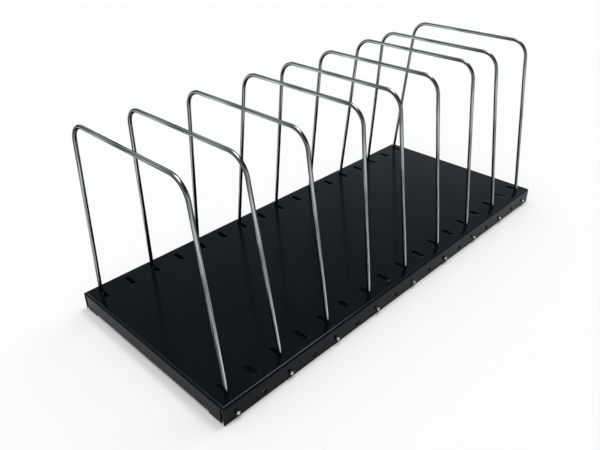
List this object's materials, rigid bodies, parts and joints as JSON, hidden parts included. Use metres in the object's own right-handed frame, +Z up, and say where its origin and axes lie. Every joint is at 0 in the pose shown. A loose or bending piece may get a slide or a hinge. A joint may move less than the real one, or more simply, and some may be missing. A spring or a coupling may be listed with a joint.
{
  "type": "medical chart rack",
  "caption": "Desktop chart and file rack: a folded black steel tray with rows of slots, and bent silver wire dividers hooked into it that can be moved from slot to slot.",
  "frame": {"origin": "on the table under the middle of the tray", "axes": "+X along the rack past the dividers, +Y from the front to the back along a divider, +Z up"},
  "size_m": [0.4286, 0.187, 0.1725],
  "materials": {
    "black_powder_coat": "satin black powder coat on folded sheet steel",
    "silver_wire": "dull silver-grey plated steel wire"
  },
  "bodies": {
    "tray": {"base_tray": "black_powder_coat"},
    "divider_1": {"divider_1": "silver_wire"},
    "divider_2": {"divider_2": "silver_wire"},
    "divider_3": {"divider_3": "silver_wire"},
    "divider_4": {"divider_4": "silver_wire"},
    "divider_5": {"divider_5": "silver_wire"},
    "divider_6": {"divider_6": "silver_wire"},
    "divider_7": {"divider_7": "silver_wire"},
    "divider_8": {"divider_8": "silver_wire"},
    "divider_9": {"divider_9": "silver_wire"}
  },
  "joints": [
    {"name": "divider_1_rock", "type": "hinge", "parent": "tray", "child": "divider_1", "pos_m": [-0.20315, 0, 0.0052], "axis": [0, 1, 0], "range_deg": [-1.5, 2]},
    {"name": "divider_2_rock", "type": "hinge", "parent": "tray", "child": "divider_2", "pos_m": [-0.15212, 0, 0.0052], "axis": [0, 1, 0], "range_deg": [-0.2, 3.2]},
    {"name": "divider_3_rock", "type": "hinge", "parent": "tray", "child": "divider_3", "pos_m": [-0.10144, 0, 0.0052], "axis": [0, 1, 0], "range_deg": [-0.8, 2.6]},
    {"name": "divider_4_rock", "type": "hinge", "parent": "tray", "child": "divider_4", "pos_m": [-0.05092, 0, 0.0052], "axis": [0, 1, 0], "range_deg": [-2.3, 1.1]},
    {"name": "divider_5_rock", "type": "hinge", "parent": "tray", "child": "divider_5", "pos_m": [0.00007, 0, 0.0052], "axis": [0, 1, 0], "range_deg": [-1.3, 2.1]},
    {"name": "divider_6_rock", "type": "hinge", "parent": "tray", "child": "divider_6", "pos_m": [0.05085, 0, 0.0052], "axis": [0, 1, 0], "range_deg": [-1.5, 2]},
    {"name": "divider_7_rock", "type": "hinge", "parent": "tray", "child": "divider_7", "pos_m": [0.10148, 0, 0.0052], "axis": [0, 1, 0], "range_deg": [-2.3, 1.1]},
    {"name": "divider_8_rock", "type": "hinge", "parent": "tray", "child": "divider_8", "pos_m": [0.15263, 0, 0.0052], "axis": [0, 1, 0], "range_deg": [-0.4, 3]},
    {"name": "divider_9_rock", "type": "hinge", "parent": "tray", "child": "divider_9", "pos_m": [0.2032, 0, 0.0052], "axis": [0, 1, 0], "range_deg": [-1.7, 1.7]}
  ]
}
